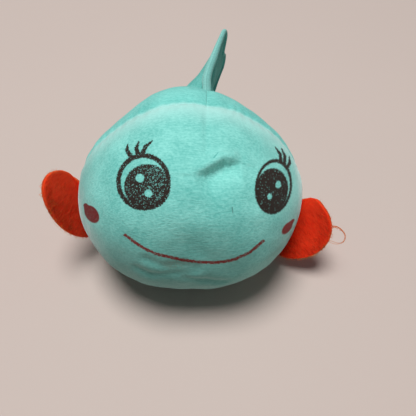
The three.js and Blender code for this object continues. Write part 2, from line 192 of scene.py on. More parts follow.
# Fins
FELT_THICK = 1.8 * MM
FIN_START = -2.9 * MM
FIN_TIP = 30.6 * MM
FIN_HALF_HEIGHT = 23.3 * MM
FIN_ROOT_HALF = 13.5 * MM
FIN_BELLY = 0.34
FIN_INSIDE = 6 * MM
FIN_COLUMNS = 44
FIN_ROWS = 60
# In each fin, rim is how strong the painted highlight on its upper edge is
FINS = {
    "left": {
        "side": -1, "tall": 1.08, "fold": math.radians(76),
        "cup": -1 * MM, "lean": 15 * MM, "sink": 3 * MM, "rim": 0.9,
    },
    "right": {
        "side": 1, "tall": 1.0, "fold": math.radians(53),
        "cup": 4 * MM, "lean": 6 * MM, "sink": 0.0, "rim": 0.25,
    },
}
LOOSE_FIBRES = {
    "left": (((46, 183), (42, 184), (39.5, 186.5)), ((46, 187), (43, 186), (40, 187.5)),
             ((46.5, 193), (42, 193), (39, 195)), ((47, 197), (43.5, 197), (40.5, 195.5))),
    "right": (((327, 229), (334, 226), (341, 229), (345.5, 235.5), (343.5, 242), (336, 244), (328, 241.5)),
              ((328, 231), (335, 227), (340, 229), (344.5, 235), (343.5, 241), (338, 243), (329, 240)),
              ((329, 224), (337, 228.5), (341, 231))),
}
LOOSE_RADIUS = 0.28 * MM
FIBRE_RADIUS = 0.07 * MM
FACE_FIBRES = 900
EDGE_FIBRES = 260
STRAND_SIDES = 3

# Tail
TAIL_AIM = math.radians(27)
TAIL_AXIS_OFF = 5 * MM
TAIL_ROOT_HALF = 18 * MM
TAIL_RIDGE_ROOT = 26 * MM
TAIL_HALF_SPAN = 23.5 * MM
TAIL_TIP = 32.5 * MM
TAIL_LOBE = 37.7 * MM
TAIL_LOBE_SPAN = 12 * MM
TAIL_NOTCH = 34 * MM
TAIL_WIDENING = 1.3
TAIL_LEAN = 0.37
TAIL_LEAN_START = 5 * MM
TAIL_INSIDE = 4 * MM
TAIL_ROLL = (2.8 * MM, 1.7 * MM)
TAIL_VALLEY = 0.3
TAIL_PUFF = {-1: 2.2 * MM, 1: 0.8 * MM}
TAIL_FLARE = {-1: 13 * MM, 1: 3 * MM}
TAIL_FLARE_REACH = 12 * MM
TAIL_PINCH = {-1: 2.6 * MM, 1: 0.0}
TAIL_PINCH_AT = 20 * MM
TAIL_CLOTH = 0.9 * MM
TAIL_CLOSED = 0.03 * MM
TAIL_RINGS = 30
TAIL_TURNED_IN = (0.3 * MM, 3 * MM)
FILLING_HALF = 3.2 * MM
FILLING_ROOM = 0.4 * MM
FILLING_RINGS = 12

# Colours, as linear shares
TEAL_TIP = (0.28, 0.74, 0.665, 1)
TEAL_DEEP = (0.12, 0.49, 0.435, 1)
# Painted highlight along the top seams and the tail's edge roll
TEAL_HIGHLIGHT = (0.56, 0.9, 0.845, 1)
BACK_TIP = (0.24, 0.71, 0.64, 1)
BACK_DEEP = (0.11, 0.48, 0.43, 1)
TAIL_LIT = (0.18, 0.54, 0.485, 1)
TAIL_DEEP = (0.08, 0.36, 0.32, 1)
# The right tail panel's plush, darker than the left's as painted shade
TAIL_SHADE_TIP = (0.1, 0.43, 0.385, 1)
TAIL_SHADE_DEEP = (0.045, 0.29, 0.255, 1)
# Painted shade for the crease over the pit
PIT_SHADE = (0.05, 0.36, 0.32, 1)
FACE_SHEEN = 0.55
BACK_SHEEN = 0.3
INK_SHEEN = 0.08
DUST = (0.2, 0.14, 0.09, 1)
INK = (0.03, 0.022, 0.018, 1)
# Painted shade for the low front of the face panel
LOW_SHADE_COLOUR = (0.05, 0.17, 0.145, 1)
LIP = (0.2, 0.03, 0.026, 1)
RED = (0.95, 0.045, 0.01, 1)
RED_DEEP = (0.8, 0.028, 0.006, 1)
# Painted highlight for the fins' upper edges, also the loose fibres' own paler red
RED_HIGHLIGHT_AND_FIBRE = (0.95, 0.085, 0.022, 1)
FIBRE = (0.86, 0.85, 0.8, 1)
THREAD = (0.2, 0.62, 0.53, 1)
FLOOR = (0.57, 0.475, 0.43, 1)


# Camera, light and floor
def make_camera():
    data = bpy.data.cameras.new("camera")
    data.sensor_width = SENSOR
    data.lens = SENSOR * FOCAL / PHOTO
    data.clip_start = 0.01
    camera = bpy.data.objects.new("camera", data)
    camera.location = EYE
    camera.rotation_euler = (math.pi / 2 - PITCH, 0, 0)
    scene.collection.objects.link(camera)
    scene.camera = camera


def make_lamp(name, place, size, power):
    data = bpy.data.lights.new(name, "AREA")
    data.shape = "DISK"
    data.size = size
    data.energy = power
    lamp = bpy.data.objects.new(name, data)
    lamp.location = place
    lamp.rotation_euler = (Vector(LAMP_TARGET) - Vector(place)).to_track_quat("-Z", "Y").to_euler()
    scene.collection.objects.link(lamp)


def make_light():
    world = bpy.data.worlds.new("studio")
    world.use_nodes = True
    background = world.node_tree.nodes["Background"]
    background.inputs["Color"].default_value = SKY
    background.inputs["Strength"].default_value = SKY_STRENGTH
    scene.world = world
    scene.view_settings.view_transform = "Standard"
    for name, (place, size, power) in LAMPS.items():
        make_lamp(name, place, size, power)


def make_floor():
    bm = bmesh.new()
    bmesh.ops.create_grid(bm, x_segments=1, y_segments=1, size=FLOOR_HALF)
    shader = Shader("pale_floor")
    shader.set({
        "Base Color": shader.mix(shader.noise(6, 3), darker(FLOOR, 0.97), FLOOR),
        "Roughness": 0.75,
    })
    object_of("floor", mesh_from("floor", bm), shader.material)


# Pixels of the photograph to places on the body and back
def project(points):
    offset = points - EYE
    ahead = -(offset @ VIEW_BACK)
    across = PHOTO / 2 + FOCAL * (offset @ VIEW_RIGHT) / ahead
    down = PHOTO / 2 - FOCAL * (offset @ VIEW_UP) / ahead
    return np.stack([across, down], axis=1)


def sight(pixel):
    across = (pixel[0] - PHOTO / 2) / FOCAL
    down = (pixel[1] - PHOTO / 2) / FOCAL
    return unit(across * VIEW_RIGHT - down * VIEW_UP - VIEW_BACK)


def on_body(pixel):
    direction = sight(pixel)
    for distance in np.arange(*SIGHT_RANGE):
        point = EYE + distance * direction
        if inside_body(point):
            return point
    raise ValueError(f"the pixel {pixel} isn't on the body")


def on_plane(pixel, point, normal):
    direction = sight(pixel)
    return EYE + direction * ((point - EYE) @ normal) / (direction @ normal)


# Shader nodes
class Shader:
    def __init__(self, name):
        self.material = bpy.data.materials.new(name)
        self.material.use_nodes = True
        self.tree = self.material.node_tree
        self.tree.nodes.clear()
        self.surface = self.node("BsdfPrincipled")
        self.node("OutputMaterial", {"Surface": self.surface.outputs[0]})
        self.place = self.node("TexCoord").outputs["Object"]

    def node(self, kind, inputs=None, **settings):
        made = self.tree.nodes.new("ShaderNode" + kind)
        for name, value in settings.items():
            setattr(made, name, value)
        self.fill(made, inputs or {})
        return made

    def fill(self, made, inputs):
        for name, value in inputs.items():
            if isinstance(value, bpy.types.NodeSocket):
                self.tree.links.new(value, made.inputs[name])
            else:
                made.inputs[name].default_value = value

    def set(self, inputs):
        self.fill(self.surface, inputs)

    def math(self, operation, *values):
        inputs = dict(enumerate(values))
        return self.node("Math", inputs, operation=operation).outputs[0]

    def times(self, first, second):
        return self.math("MULTIPLY", first, second)

    # Two values, each times its own share, added up
    def weighed(self, first, share, second, other_share):
        return self.math("MULTIPLY_ADD", first, share, self.times(second, other_share))

    def mix(self, factor, first, second):
        made = self.node("Mix", {0: factor, 6: first, 7: second}, data_type="RGBA")
        return made.outputs[2]

    def ramp(self, value, low, high, start=0.0, end=1.0):
        inputs = {0: value, 1: low, 2: high, 3: start, 4: end}
        return self.node("MapRange", inputs, interpolation_type="SMOOTHSTEP").outputs[0]

    def noise(self, scale, detail=2.0, place=None, roughness=0.5):
        inputs = {"Vector": place or self.place, "Scale": scale, "Detail": detail, "Roughness": roughness}
        return self.node("TexNoise", inputs).outputs[0]

    def stretched(self, place, scale, turn=(0, 0, 0)):
        return self.node("Mapping", {"Vector": place, "Scale": scale, "Rotation": turn}).outputs[0]

    def attribute(self, name):
        return self.node("Attribute", attribute_name=name)

    def bump(self, height, distance, strength, below=None):
        inputs = {"Height": height, "Distance": distance, "Strength": strength}
        if below:
            inputs["Normal"] = below
        return self.node("Bump", inputs).outputs[0]

    # Places about a centre, turned and in shares of two radii
    def local(self, place, centre, turn, radii):
        inputs = {
            "Vector": place,
            "Location": (centre[0], centre[1], 0),
            "Rotation": (0, 0, turn),
            "Scale": (radii[0], radii[1], 1),
        }
        return self.node("Mapping", inputs, vector_type="TEXTURE").outputs[0]

    def length(self, vector):
        return self.node("VectorMath", {0: vector}, operation="LENGTH").outputs["Value"]

    # 1 inside an ellipse, 0 outside
    def disc(self, place, centre, radii, turn=0.0, soft=0.6):
        share = soft / min(radii)
        return self.ramp(self.length(self.local(place, centre, turn, radii)), 1 + share, 1 - share)

    # 1 on a line between two places that narrows to its end, 0 off it
    def stroke(self, place, start, end, width, end_width=None, soft=0.5):
        along = math.hypot(end[0] - start[0], end[1] - start[1])
        turn = math.atan2(end[1] - start[1], end[0] - start[0])
        parts = self.node("SeparateXYZ", {0: self.local(place, start, turn, (along, along))})
        on_line = self.node("Clamp", {0: parts.outputs[0]}).outputs[0]
        beyond = self.math("SUBTRACT", parts.outputs[0], on_line)
        off = self.node("CombineXYZ", {0: beyond, 1: parts.outputs[1]}).outputs[0]
        distance = self.math("MULTIPLY", self.length(off), along)
        narrow = (width - (end_width or width)) / 2
        distance = self.math("MULTIPLY_ADD", on_line, narrow, distance)
        return self.ramp(distance, width / 2 + soft, width / 2 - soft)

    def union(self, shapes):
        whole = shapes[0]
        for shape in shapes[1:]:
            whole = self.math("MAXIMUM", whole, shape)
        return whole


# The plush: short pile in knitted rows, brushed into patches, with a painted highlight along its seams and
# painted shade on the face panel's low front
def plush_shader(name, tip, deep, sheen):
    shader = Shader(name)
    pile = shader.noise(1900, 2)
    tuft = shader.noise(760, 3)
    brushed = shader.noise(55, 4)
    rows = shader.noise(1, 2, shader.stretched(shader.place, (330, 1350, 1350)))
    grain = shader.weighed(rows, 0.55, tuft, 0.45)
    lit = shader.math("MULTIPLY_ADD", shader.ramp(brushed, 0.3, 0.7), 0.45, 0.05)
    lit = shader.math("MULTIPLY_ADD", shader.ramp(grain, 0.35, 0.65), 0.58, lit)
    colour = shader.mix(lit, deep, tip)
    # A painted highlight along the seams, then painted shade on the low front
    for kept, share, mark in (("seam_highlight", 0.6, TEAL_HIGHLIGHT), ("low_shade", 0.5, LOW_SHADE_COLOUR)):
        mask = shader.times(shader.attribute(kept).outputs["Fac"], share)
        colour = shader.mix(mask, colour, mark)
    knit = shader.bump(grain, 0.6 * MM, 0.6)
    shader.set({
        "Base Color": colour,
        "Roughness": 0.92,
        "Specular IOR Level": 0.15,
        "Sheen Weight": sheen,
        "Sheen Roughness": 0.42,
        "Sheen Tint": (0.95, 1.0, 0.98, 1),
        "Normal": shader.bump(pile, 0.3 * MM, 0.45, knit),
    })
    return shader, colour


# An eye's ring with its lashes, and its pupil with two lights left out
def eye_print(shader, place, eye):
    turn = eye["turn"]
    outer = shader.disc(place, eye["ring"], eye["radii"], turn)
    width = eye["width"]
    inner_radii = (eye["radii"][0] - width * eye["radii"][0] / eye["radii"][1], eye["radii"][1] - width)
    ring = [shader.math("SUBTRACT", outer, shader.disc(place, eye["ring"], inner_radii, turn))]
    for base, bend, tip in eye["lashes"]:
        ring.append(shader.stroke(place, base, bend, eye["lash"], 0.85 * eye["lash"]))
        ring.append(shader.stroke(place, bend, tip, 0.85 * eye["lash"], 0.3 * eye["lash"]))
    pupil = shader.disc(place, eye["pupil"], eye["pupil_radii"], turn)
    lights = shader.union([shader.disc(place, centre, radii, turn) for centre, radii in eye["lights"]])
    return shader.union(ring), pupil, lights


# The face panel's plush with its printed eyes, cheeks and mouth
def face_shader():
    shader, colour = plush_shader("plush_face", TEAL_TIP, TEAL_DEEP, FACE_SHEEN)
    place = shader.attribute("print_place").outputs["Vector"]
    facing = shader.attribute("print_side").outputs["Fac"]
    shaken = shader.node("TexNoise", {"Vector": shader.place, "Scale": 1300, "Detail": 1.0})
    jitter = shader.node("VectorMath", {0: shaken.outputs["Color"], 1: (0.5, 0.5, 0.5)},
                         operation="SUBTRACT").outputs[0]
    rough = shader.node("VectorMath", {0: jitter, 1: (2.4, 2.4, 0), 2: place},
                        operation="MULTIPLY_ADD").outputs[0]
    cells = shader.node("TexVoronoi", {"Vector": shader.place, "Scale": 2300}).outputs["Color"]
    grains = shader.node("SeparateColor", {0: cells}).outputs[0]
    worn = shader.weighed(grains, 0.45, shader.noise(1100, 2), 0.55)
    across = shader.node("SeparateXYZ", {0: place}).outputs[0]
    inks = []
    for eye in EYES:
        ring, pupil, lights = eye_print(shader, rough, eye)
        low, high = eye["wear"]
        wear = shader.math("MULTIPLY_ADD", shader.ramp(across, *eye["worn_side"]), high - low, low)
        speckle = shader.ramp(shader.math("SUBTRACT", worn, wear), -0.04, 0.05, 0.45)
        clear = shader.math("SUBTRACT", 1.0, lights)
        solid = shader.times(shader.times(pupil, speckle), clear)
        rubbed = shader.times(ring, shader.ramp(worn, low - 0.08, low + 0.02, 0.4))
        inks.append(shader.math("MAXIMUM", solid, rubbed))
    faded = shader.ramp(worn, 0.2, 0.45, 0.88)
    cheeks = []
    for cheek in CHEEKS:
        round_part = shader.disc(place, cheek["middle"], cheek["radii"], cheek["turn"])
        tip = shader.stroke(place, *cheek["tip"], *cheek["tip_widths"])
        cheeks.append(shader.times(shader.union([round_part, tip]), faded))
    segments = zip(MOUTH[:-1], MOUTH[1:])
    mouth = shader.union([shader.stroke(rough, start, end, MOUTH_WIDTH) for start, end in segments])
    mouth = shader.times(mouth, shader.ramp(worn, 0.25, 0.42, 0.55))
    smudge = shader.disc(place, SMUDGE, SMUDGE_RADII, 0.1, 3)
    smudge = shader.times(smudge, shader.ramp(worn, 0.2, 0.7, 0.1, 0.35))
    fleck = shader.times(shader.stroke(place, *FLECK, 1.1), 0.5)
    # Painted shade in the crease over the pit
    pit_shade_mask = shader.times(shader.stroke(place, *PIT_SHADE_LINE, 1.6, 0.8), 0.7)
    marks = [(smudge, DUST), (pit_shade_mask, PIT_SHADE), (mouth, LIP), (fleck, INK), (shader.union(inks), INK)]
    marks.extend((mask, cheek["ink"]) for mask, cheek in zip(cheeks, CHEEKS))
    for mask, mark in marks:
        colour = shader.mix(shader.times(mask, facing), colour, mark)
    printed = shader.union([*cheeks, mouth, *inks])
    shader.set({"Base Color": colour, "Sheen Weight": shader.ramp(printed, 0, 1, FACE_SHEEN, INK_SHEEN)})
    return shader.material


def felt_shader():
    shader = Shader("red_felt")
    laid = shader.attribute("felt_place").outputs["Vector"]
    streaks = shader.noise(1, 4, shader.stretched(laid, (170, 950, 1)), 0.62)
    matted = shader.noise(420, 4, None, 0.6)
    depth = shader.weighed(streaks, 0.65, matted, 0.35)
    colour = shader.mix(shader.ramp(depth, 0.34, 0.66), RED_DEEP, RED)
    fibrous = shader.bump(streaks, 0.8 * MM, 0.6)
    # A painted highlight on the fins' upper edges, and the loose fibres' paler red
    shader.set({
        "Base Color": shader.mix(shader.attribute("felt_highlight_and_pale_fibre").outputs["Fac"], colour, RED_HIGHLIGHT_AND_FIBRE),
        "Subsurface Weight": 0.8,
        "Subsurface Radius": (1.0, 0.3, 0.15),
        "Subsurface Scale": 4 * MM,
        "Roughness": 0.95,
        "Specular IOR Level": 0.1,
        "Sheen Weight": 0.25,
        "Sheen Roughness": 0.5,
        "Sheen Tint": (1.0, 0.35, 0.16, 1),
        "Normal": shader.bump(matted, 0.4 * MM, 0.5, fibrous),
    })
    return shader.material


def fibre_shader():
    shader = Shader("fibre_fill")
    wisps = shader.noise(1, 4, shader.stretched(shader.place, (700, 250, 250), (0.4, 0.2, 0.7)))
    depth = shader.weighed(wisps, 0.5, shader.noise(90, 3), 0.5)
    shader.set({
        "Base Color": shader.mix(shader.ramp(depth, 0.35, 0.6), darker(FIBRE, 0.72), FIBRE),
        "Roughness": 1.0,
        "Sheen Weight": 0.3,
        "Normal": shader.bump(depth, 1.2 * MM, 0.7),
    })
    return shader.material


def thread_shader():
    shader = Shader("sewing_thread")
    inputs = {"Vector": shader.stretched(shader.place, (1, 1, 1), (0.6, 0.6, 0.6)), "Scale": 900}
    ply = shader.node("TexWave", inputs).outputs[1]
    shader.set({
        "Base Color": shader.mix(ply, darker(THREAD, 0.6), THREAD),
        "Roughness": 0.6,
        "Normal": shader.bump(ply, 0.1 * MM, 0.6),
    })
    return shader.material


def darker(colour, share):
    return tuple(share * part for part in colour[:3]) + (1,)


# Mesh helpers
def object_of(name, mesh, material):
    piece = bpy.data.objects.new(name, mesh)
    scene.collection.objects.link(piece)
    mesh.materials.clear()
    mesh.materials.append(material)
    mesh.polygons.foreach_set("material_index", np.zeros(len(mesh.polygons), np.int32))
    mesh.polygons.foreach_set("use_smooth", np.ones(len(mesh.polygons), bool))
    return piece


def places(mesh):
    flat = np.zeros(3 * len(mesh.vertices), np.float32)
    mesh.vertices.foreach_get("co", flat)
    return flat.reshape(-1, 3).astype(float)


def put(mesh, points):
    mesh.vertices.foreach_set("co", points.astype(np.float32).ravel())
    mesh.update()


def normals(mesh):
    flat = np.zeros(3 * len(mesh.vertices), np.float32)
    mesh.vertex_normals.foreach_get("vector", flat)
    return flat.reshape(-1, 3).astype(float)


# Keeps a value or a vector at each point, for the material
def keep(mesh, name, values):
    vectors = values.ndim > 1
    attribute = mesh.attributes.new(name, "FLOAT_VECTOR" if vectors else "FLOAT", "POINT")
    attribute.data.foreach_set("vector" if vectors else "value", values.astype(np.float32).ravel())


def mesh_of(name, points, faces):
    mesh = bpy.data.meshes.new(name)
    mesh.from_pydata([tuple(point) for point in points], [], faces)
    return mesh


def mesh_from(name, bm):
    mesh = bpy.data.meshes.new(name)
    bm.to_mesh(mesh)
    bm.free()
    return mesh


# Faces from a middle point to the ring that follows it
def fan_faces(middle, count):
    return [(middle, middle + 1 + (i + 1) % count, middle + 1 + i) for i in range(count)]


# Faces between rings of points, each ring a step after the one before
def ring_faces(start, count, rings, step=None):
    step = step or count
    faces = []
    for ring in range(rings - 1):
        low = start + ring * step
        for i in range(count):
            after = (i + 1) % count
            faces.append((low + i, low + after, low + step + after, low + step + i))
    return faces


# Turns a mesh's faces outward and marks its sharp edges
def turn_outward(mesh, sharp=()):
    bm = bmesh.new()
    bm.from_mesh(mesh)
    bmesh.ops.recalc_face_normals(bm, faces=bm.faces[:])
    bm.verts.ensure_lookup_table()
    for start, end in sharp:
        bm.edges.get((bm.verts[start], bm.verts[end])).smooth = False
    bm.to_mesh(mesh)
    bm.free()


def thicken(piece, thickness, offset):
    solidify = piece.modifiers.new("thickness", "SOLIDIFY")
    solidify.thickness = thickness
    solidify.offset = offset


def baked(piece):
    graph = bpy.context.evaluated_depsgraph_get()
    return bpy.data.meshes.new_from_object(piece.evaluated_get(graph))


def smoothstep(values, low, high):
    share = np.clip((values - low) / (high - low), 0, 1)
    return share * share * (3 - 2 * share)


def lumps(points, size, seed):
    shift = Vector((seed * 3.1, seed * 1.7, seed * 2.3))
    return np.array([noise.noise(Vector(point / size) + shift) for point in points])


def hump(distance, width):
    return np.exp(-((distance / width) ** 2))


def lengths(vectors):
    return np.linalg.norm(vectors, axis=-1)


def unit(vectors):
    return vectors / np.linalg.norm(vectors, axis=-1, keepdims=True)


def joint_place(name):
    return np.array(JOINTS[name]["pos_m"])


# Where points lie along a line, as shares of it, and how they lie off it
def off_line(points, start, end):
    along = end - start
    share = np.clip(((points - start) @ along) / (along @ along), 0, 1)
    return share, points - start - share[:, None] * along


def line_distance(points, stops):
    pairs = zip(stops[:-1], stops[1:])
    return np.min([lengths(off_line(points, *pair)[1]) for pair in pairs], axis=0)


# The body
def body_reach(directions):
    x, y, z = directions.T
    width = HALF_WIDTH - BACK_TAPER * np.maximum(y, 0) ** 2 - TOP_TAPER * np.maximum(z, 0) ** 2
    height = np.where(z > 0, RISE, DROP)
    shares = np.abs(x / width) ** FULLNESS + np.abs(y / HALF_DEPTH) ** FULLNESS
    return (shares + np.abs(z / height) ** FULLNESS) ** (-1 / FULLNESS)


def settle(points):
    rounded = (points[:, 2] + np.sqrt(points[:, 2] ** 2 + BASE_ROUNDING**2)) / 2
    settled = points.copy()
    settled[:, 2] = rounded - rounded.min()
    return settled


def inside_body(point):
    offset = point - MIDDLE
    length = np.linalg.norm(offset)
    return length < body_reach(offset[None] / length)[0]


def in_front(points):
    return (points - MIDDLE) @ SEAM_FRONT


def on_dart(points, dart_tip):
    return (points[..., 1] > dart_tip) & (points[..., 2] > MIDDLE[2])


def near_top(points):
    return smoothstep(points[:, 2], MIDDLE[2], TOP - TOP_BAND)


# The whole skin, with its faces numbered by panel and cut along the middle seam and the dart
def ball_mesh():
    bm = bmesh.new()
    bmesh.ops.create_cube(bm, size=2)
    bmesh.ops.subdivide_edges(bm, edges=bm.edges[:], cuts=BALL_CUTS, use_grid_fill=True)
    even = np.tan(np.array([vert.co for vert in bm.verts]) * math.pi / 4)
    directions = unit(even @ np.array([VIEW_RIGHT, SEAM_FRONT, SEAM_UP]))
    points = settle(MIDDLE + directions * body_reach(directions)[:, None])
    spacing = math.pi / 2 * HALF_WIDTH / (BALL_CUTS + 1)
    seam_top = (MIDDLE + SEAM_UP * body_reach(SEAM_UP[None])[0])[1]
    dart_tip = seam_top - DART_LENGTH
    behind = in_front(points) < spacing / 2
    near = np.abs(points[:, 0] - MIDDLE_SEAM_X) < 0.35 * spacing
    points[near & (behind | on_dart(points, dart_tip)), 0] = MIDDLE_SEAM_X
    for vert, point in zip(bm.verts, points):
        vert.co = point
    cut = []
    for face in bm.faces:
        centre = np.array(face.calc_center_median())
        if in_front(centre) < 0 or on_dart(centre, dart_tip):
            cut.extend([face, *face.edges, *face.verts])
    bmesh.ops.bisect_plane(bm, geom=list(dict.fromkeys(cut)), dist=0.01 * MM,
                           plane_co=(MIDDLE_SEAM_X, 0, 0), plane_no=(1, 0, 0))
    for face in bm.faces:
        centre = np.array(face.calc_center_median())
        if in_front(centre) > 0:
            face.material_index = 0
        else:
            face.material_index = 1 if centre[0] < MIDDLE_SEAM_X else 2
    bmesh.ops.recalc_face_normals(bm, faces=bm.faces[:])
    return mesh_from("ball", bm), dart_tip


# Cloth pressure between the sewn lines and the pressed base
def swell(mesh, dart_tip):
    piece = bpy.data.objects.new("swelling", mesh)
    scene.collection.objects.link(piece)
    start = places(mesh)
    on_middle = np.abs(start[:, 0] - MIDDLE_SEAM_X) < 0.05 * MM
    on_face_seam = np.abs(in_front(start)) < 0.3 * MM
    on_back_seam = on_middle & ((in_front(start) < 0) | on_dart(start, dart_tip))
    sewn = on_face_seam | on_back_seam | (start[:, 2] < 0.6 * MM)
    group = piece.vertex_groups.new(name="sewn")
    group.add([int(i) for i in np.nonzero(sewn)[0]], 1.0, "REPLACE")
    settings = piece.modifiers.new("swell", "CLOTH").settings
    for name, value in CLOTH.items():
        setattr(settings, name, value)
    settings.vertex_group_mass = "sewn"
    settings.effector_weights.gravity = 0
    for number in range(1, CLOTH_FRAMES + 1):
        scene.frame_set(number)
    moved = places(baked(piece)) - start
    scene.frame_set(1)
    length = lengths(moved)
    moved *= (SWELL_CAP * np.tanh(length / SWELL_CAP) / np.maximum(length, 1e-9))[:, None]
    bpy.data.objects.remove(piece)
    put(mesh, start + moved)


def subdivided(mesh):
    piece = bpy.data.objects.new("fine", mesh)
    scene.collection.objects.link(piece)
    piece.modifiers.new("fine", "SUBSURF").levels = 1
    fine = baked(piece)
    bpy.data.objects.remove(piece)
    return fine


# How far each point of the plush moves out along its normal
def relief(points, dart_tip):
    off_seam = np.abs(in_front(points))
    off_middle = np.abs(points[:, 0] - MIDDLE_SEAM_X)
    behind = smoothstep(-in_front(points), 0, 2 * MM)
    above = points[:, 2] > MIDDLE[2]
    out = 0.9 * MM * lumps(points, 26 * MM, 1) + 0.35 * MM * lumps(points, 9 * MM, 2)
    along = np.arctan2((points - MIDDLE) @ SEAM_UP, points[:, 0]) * HALF_WIDTH
    gathers = np.sin(along / (1.3 * MM) + 3 * lumps(points, 18 * MM, 3))
    out -= (0.3 + 0.3 * near_top(points)) * MM * hump(off_seam, 4 * MM)
    out += 0.16 * MM * gathers * hump(off_seam - 3 * MM, 4 * MM)
    out -= behind * 0.4 * MM * hump(off_middle, 2.6 * MM)
    out += behind * 0.16 * MM * np.sin(points[:, 2] / (1.4 * MM)) * hump(off_middle - 3 * MM, 4 * MM)
    dart = smoothstep(points[:, 1], dart_tip - 2 * MM, dart_tip + 8 * MM) * (1 - behind) * above
    out -= dart * 0.4 * MM * hump(off_middle, 1.6 * MM)
    out += crease(points)
    for pixel, height, width in FORMS.values():
        out += height * hump(lengths(points - on_body(pixel)), width)
    for line in BELLY_FOLDS:
        distance = line_distance(points, [on_body(pixel) for pixel in line])
        out -= FOLD_DEPTH * hump(distance, 2.6 * MM)
        out += FOLD_LIP * hump(distance - 5 * MM, 4 * MM)
    return out


# The face seam pulled back on the right of the tail and forward on its left
def pulled(points):
    x = points[:, 0]
    shift = 3.5 * MM * hump(x + 20 * MM, 16 * MM) - 5.5 * MM * smoothstep(x, 8 * MM, 32 * MM)
    shift *= near_top(points) * hump(in_front(points), 20 * MM)
    return points + np.outer(shift, SEAM_FRONT)


# The pit under the dart: steep on its upper side, with a ridge over it, and shallow below
def crease(points):
    stops = [on_body(pixel) for pixel in PIT_LINE]
    uphill = on_body(PIT_UPHILL) - on_body(PIT_LINE[2])
    nearest = np.full(len(points), 1.0)
    weight = np.zeros(len(points))
    for i in range(len(stops) - 1):
        share, offset = off_line(points, stops[i], stops[i + 1])
        distance = lengths(offset)
        closer = distance < np.abs(nearest)
        nearest = np.where(closer, np.where(offset @ uphill > 0, distance, -distance), nearest)
        weight = np.where(closer, PIT_SHARES[i] + share * (PIT_SHARES[i + 1] - PIT_SHARES[i]), weight)
    below = np.maximum(PIT_EDGE - nearest, 0)
    pit = (1 - np.exp(-below / PIT_FALL)) * hump(below, PIT_REACH)
    ridge = hump(nearest - 3.8 * MM, 3 * MM)
    return weight * (PIT_RIDGE * ridge - PIT_DEPTH * pit)


# How far a point of a panel lies from each of its seams, with the way from that seam into the panel
def seams_of(point, number):
    side = 1 if number == 0 else -1
    seams = [(side * in_front(point), side * SEAM_FRONT)]
    if number:
        side = -1 if number == 1 else 1
        seams.append((side * (point[0] - MIDDLE_SEAM_X), side * VIEW_RIGHT))
    return seams


# One panel: its faces of the ball, drawn back from its seams and turned in there
def panel_mesh(name, ball, number, slots):
    bm = bmesh.new()
    bm.from_mesh(ball)
    others = [face for face in bm.faces if face.material_index != number]
    bmesh.ops.delete(bm, geom=others, context="FACES")
    border = {vert for each in bm.edges if each.is_boundary for vert in each.verts}
    edge = {}
    for vert in bm.verts:
        point = np.array(vert.co)
        gap = SEAM_GAP
        for slot_middle, slot_reach, slot_gap in slots:
            away = np.linalg.norm(point - slot_middle)
            gap += (slot_gap - SEAM_GAP) * (1 - smoothstep(away, slot_reach, slot_reach + SLOT_FADE))
        shift = np.zeros(3)
        walls = []
        for distance, way in seams_of(point, number):
            if distance < DRAWN_BACK:
                shift += way * (gap + FOLD_RADIUS) * (1 - max(distance, 0) / DRAWN_BACK)
            if distance < AT_SEAM:
                walls.append(way)
        vert.co = point + shift
        if vert in border:
            edge[vert] = walls
    rim, verts = extruded(bm, [each for each in bm.edges if each.is_boundary])
    fold = turn_in(verts, edge, FOLD_RADIUS, -FOLD_RADIUS)
    _, verts = extruded(bm, rim)
    turn_in(verts, fold, SEAM_DEPTH, SEAM_OPENING)
    bmesh.ops.recalc_face_normals(bm, faces=bm.faces[:])
    return mesh_from(name, bm)


# A second rim pulled out of a first: its edges and its points
def extruded(bm, rim):
    made = bmesh.ops.extrude_edge_only(bm, edges=rim)["geom"]
    edges = [item for item in made if isinstance(item, bmesh.types.BMEdge)]
    return edges, [item for item in made if isinstance(item, bmesh.types.BMVert)]


# Moves a panel's new rim in along its seams and away from them, and says which seams each point is on
def turn_in(verts, edge, depth, shift):
    walls_at = [(np.array(vert.co), walls) for vert, walls in edge.items()]
    spots = np.array([spot for spot, _ in walls_at])
    turned = {}
    for vert in verts:
        point = np.array(vert.co)
        walls = walls_at[int(np.argmin(lengths(spots - point)))][1]
        inward = MIDDLE - point
        for wall in walls:
            inward -= (inward @ wall) * wall
        point += depth * unit(inward)
        for wall in walls:
            point += shift * wall
        vert.co = point
        turned[vert] = walls
    return turned


# Where the print falls on the face panel, and where painted shade darkens its low front, less to the right
def keep_print(mesh, points):
    keep(mesh, "print_place", np.hstack([project(points), np.zeros((len(points), 1))]))
    facing = (normals(mesh) * unit(EYE - points)).sum(axis=1)
    keep(mesh, "print_side", smoothstep(facing, 0.0, 0.12))
    shade_start, low_shade = LOW_SHADE_HEIGHTS
    low_front_shade = smoothstep(-points[:, 2], -shade_start, -low_shade) * smoothstep(in_front(points), 0, 30 * MM)
    keep(mesh, "low_shade", low_front_shade * (1 - 0.75 * smoothstep(points[:, 0], 8 * MM, 40 * MM)))


